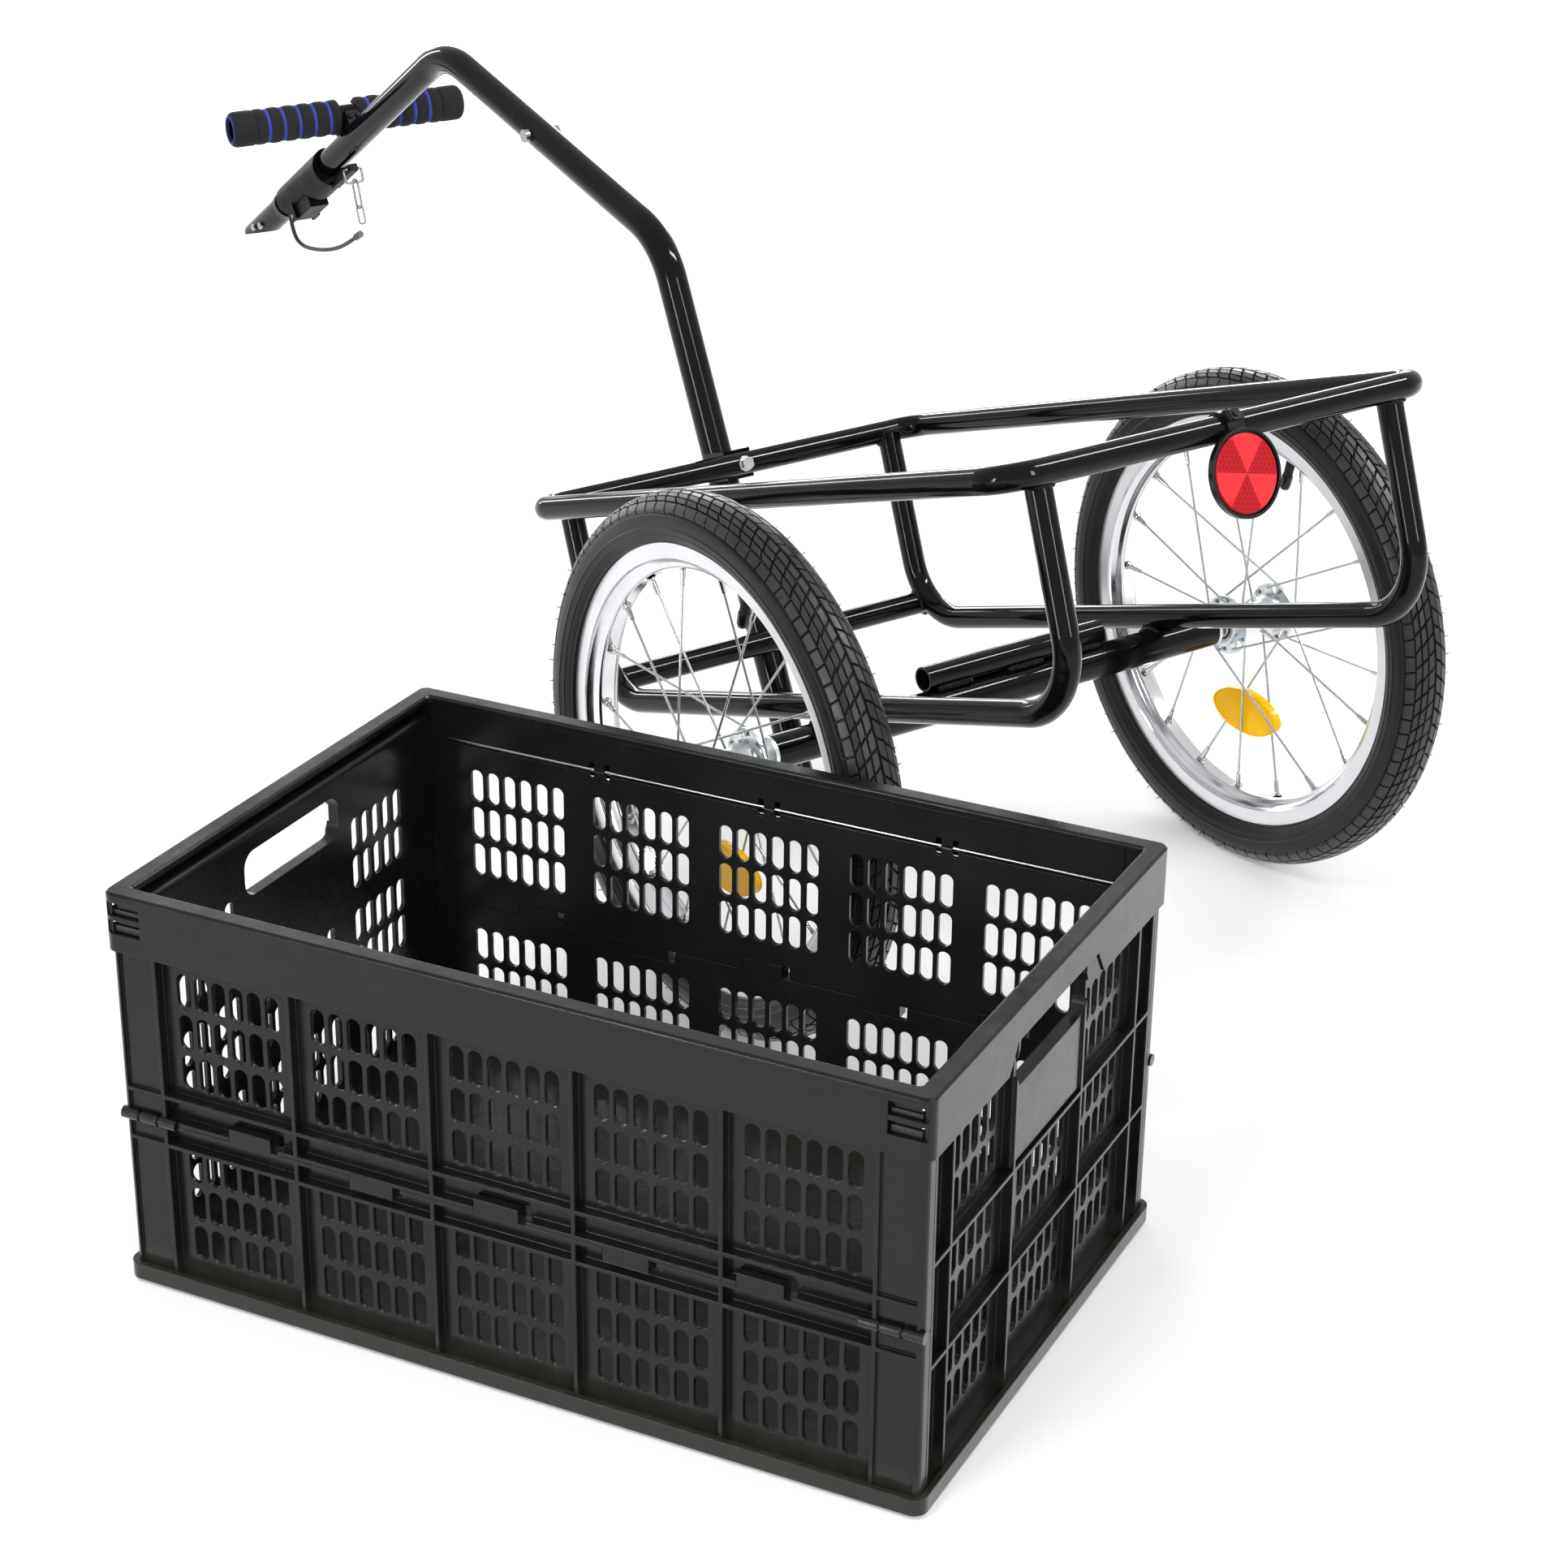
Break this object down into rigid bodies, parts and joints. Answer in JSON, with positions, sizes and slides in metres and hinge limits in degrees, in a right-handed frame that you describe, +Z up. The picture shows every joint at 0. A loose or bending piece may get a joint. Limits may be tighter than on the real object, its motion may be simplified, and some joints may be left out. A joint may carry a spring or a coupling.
{
  "type": "bike cargo trailer",
  "caption": "Two-wheeled bicycle cargo trailer with a tubular frame, bent drawbar with cross handle and hitch end, and a folding crate beside it.",
  "frame": {"origin": "on the floor, under the middle of the whole object's box, the crate included", "axes": "+Z up; +Y forward along the trailer, from the rear reflector to the hitch; +X to the trailer's right, along the axle"},
  "size_m": [1.0612, 1.7645, 0.5407],
  "materials": {
    "tyre_rubber": "matt black block-tread rubber",
    "rim_aluminium": "polished",
    "spoke_steel": "plain drawn steel",
    "bearing_steel": "ground steel",
    "hub_zinc": "zinc plated pressed steel",
    "amber_plastic": "prismatic amber",
    "valve_rubber": "black",
    "grip_foam": "soft foam with blue rings",
    "zinc_steel": "bright zinc",
    "black_plastic": "moulded, fine grain",
    "strap_web": "thin woven webbing",
    "red_plastic": "prismatic red",
    "crate_plastic": "semi-gloss moulded",
    "black_frame": "gloss black enamel"
  },
  "bodies": {
    "trailer": {"top_rail_loop": "black_frame", "side_hoop_left": "black_frame", "side_hoop_right": "black_frame", "front_lower_crossbar": "black_frame", "axle_cross_tube": "black_frame", "axle_receiver_tube": "black_frame", "axle_end_plugs": "zinc_steel", "drawbar_rear": "black_frame", "drawbar_foot_cap": "black_plastic", "drawbar_saddle": "black_frame", "frame_bolt": "zinc_steel", "drawbar_front": "black_frame", "drawbar_spigot": "zinc_steel", "drawbar_joint_bolt": "zinc_steel", "handlebar_tube": "black_frame", "grip_right": "grip_foam", "grip_left": "grip_foam", "handlebar_saddle": "black_frame", "handlebar_screws": "zinc_steel", "coupling_sleeve": "black_plastic", "latch_pin": "zinc_steel", "coupling_tab": "black_plastic", "hitch_screws": "zinc_steel", "d_ring": "zinc_steel", "strap_links": "zinc_steel", "safety_strap": "strap_web", "strap_ring": "black_plastic", "strap_terminal": "black_plastic", "reflector_clamp": "black_plastic", "reflector_housing": "black_plastic", "reflector_lens": "red_plastic", "axle_bolts": "zinc_steel"},
    "wheel_left": {"tyre_left": "tyre_rubber", "rim_left": "rim_aluminium", "spokes_left": "spoke_steel", "nipples_left": "spoke_steel", "hub_left": "hub_zinc", "hub_bearings_left": "bearing_steel", "side_reflector_left": "amber_plastic", "valve_left": "valve_rubber"},
    "wheel_right": {"tyre_right": "tyre_rubber", "rim_right": "rim_aluminium", "spokes_right": "spoke_steel", "nipples_right": "spoke_steel", "hub_right": "hub_zinc", "hub_bearings_right": "bearing_steel", "side_reflector_right": "amber_plastic", "valve_right": "valve_rubber"},
    "crate": {"crate_rim": "crate_plastic", "crate_base": "crate_plastic", "crate_wall_left_lower": "crate_plastic", "crate_wall_left_upper": "crate_plastic", "crate_wall_right_lower": "crate_plastic", "crate_wall_right_upper": "crate_plastic", "crate_mid_pins": "zinc_steel", "crate_rods": "zinc_steel"},
    "crate_end_near": {"crate_end_near": "crate_plastic"},
    "crate_end_far": {"crate_end_far": "crate_plastic"},
    "latch": {"latch_trigger": "black_plastic"}
  },
  "joints": [
    {"name": "wheel_left_spin", "type": "hinge", "parent": "trailer", "child": "wheel_left", "pos_m": [-0.02591, -0.32336, 0.2], "axis": [1, 0, 0], "continuous": true},
    {"name": "wheel_right_spin", "type": "hinge", "parent": "trailer", "child": "wheel_right", "pos_m": [0.48589, -0.32336, 0.2], "axis": [1, 0, 0], "continuous": true},
    {"name": "latch_trigger_turn", "type": "hinge", "parent": "trailer", "child": "latch", "pos_m": [0.23799, 0.771, 0.32415], "axis": [1, 0, 0], "range_deg": [0, 10]},
    {"name": "crate_lift", "type": "slide", "parent": "trailer", "child": "crate", "axis": [0, 0, 1], "range_m": [0, 0.4]},
    {"name": "crate_end_near_fold", "type": "hinge", "parent": "crate", "child": "crate_end_near", "pos_m": [-0.11876, -0.79165, 0.256], "axis": [0.8849, 0.4658, 0], "range_deg": [0, 88]},
    {"name": "crate_end_far_fold", "type": "hinge", "parent": "crate", "child": "crate_end_far", "pos_m": [-0.36687, -0.32026, 0.256], "axis": [-0.8849, -0.4658, 0], "range_deg": [0, 88]}
  ]
}
